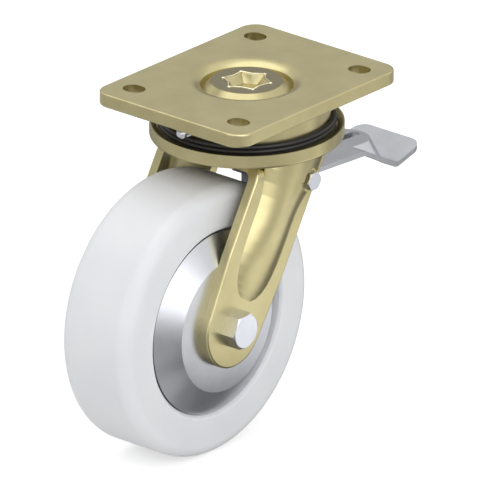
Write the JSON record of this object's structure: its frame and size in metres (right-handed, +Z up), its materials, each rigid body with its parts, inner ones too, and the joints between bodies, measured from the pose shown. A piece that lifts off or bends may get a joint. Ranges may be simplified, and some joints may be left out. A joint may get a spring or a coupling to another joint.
{
  "type": "heavy duty swivel castor",
  "caption": "Swivel castor with a slotted rectangular top plate, an embossed sheet steel fork, a solid white wheel on a bolted axle and a foot operated wheel brake.",
  "frame": {"origin": "centre of the top plate's upper face, on the swivel axis, at the middle of the bolt pattern", "axes": "+Z up the swivel axis, out of the mounting face; +Y towards the brake pedal, with the wheel trailing towards -Y; +X along the wheel's axle"},
  "size_m": [0.1106, 0.2605, 0.205],
  "materials": {
    "yellow_zinc": "yellow passivated zinc plate, satin",
    "clear_zinc": "clear passivated zinc plate, satin",
    "bearing_steel": "ground steel",
    "white_nylon": "cast polyamide, fine satin",
    "black_rubber": "moulded rubber, satin"
  },
  "bodies": {
    "mounting": {"top_plate": "yellow_zinc", "race_ring": "yellow_zinc", "kingpin": "yellow_zinc", "lower_race": "bearing_steel", "kingpin_nut": "clear_zinc", "grease_nipple": "clear_zinc"},
    "fork": {"swivel_head": "yellow_zinc", "fork": "yellow_zinc", "seal_ring": "black_rubber", "upper_balls": "bearing_steel", "lower_balls": "bearing_steel", "axle_bolt": "clear_zinc", "axle_washer": "clear_zinc", "axle_nut": "clear_zinc", "axle_sleeve": "bearing_steel", "thread_guard_right": "clear_zinc", "thread_guard_left": "clear_zinc", "bearing_inner_right": "bearing_steel", "bearing_inner_left": "bearing_steel", "bearing_balls_right": "bearing_steel", "bearing_balls_left": "bearing_steel", "brake_pivot_bolt": "clear_zinc", "brake_pivot_nut": "clear_zinc", "pivot_spacers": "clear_zinc", "pivot_washers": "clear_zinc"},
    "wheel": {"wheel": "white_nylon", "bearing_outer_right": "bearing_steel", "bearing_outer_left": "bearing_steel"},
    "brake": {"brake_lever": "clear_zinc", "brake_shoe": "clear_zinc", "shoe_rivets": "clear_zinc"}
  },
  "joints": [
    {"name": "swivel", "type": "hinge", "parent": "mounting", "child": "fork", "pos_m": [0, 0, 0], "axis": [0, 0, 1], "continuous": true},
    {"name": "wheel_spin", "type": "hinge", "parent": "fork", "child": "wheel", "pos_m": [0, -0.054, -0.125], "axis": [1, 0, 0], "continuous": true},
    {"name": "brake_pivot", "type": "hinge", "parent": "fork", "child": "brake", "pos_m": [0, 0.0075, -0.053], "axis": [-1, 0, 0], "range_deg": [0, 5.5]}
  ]
}
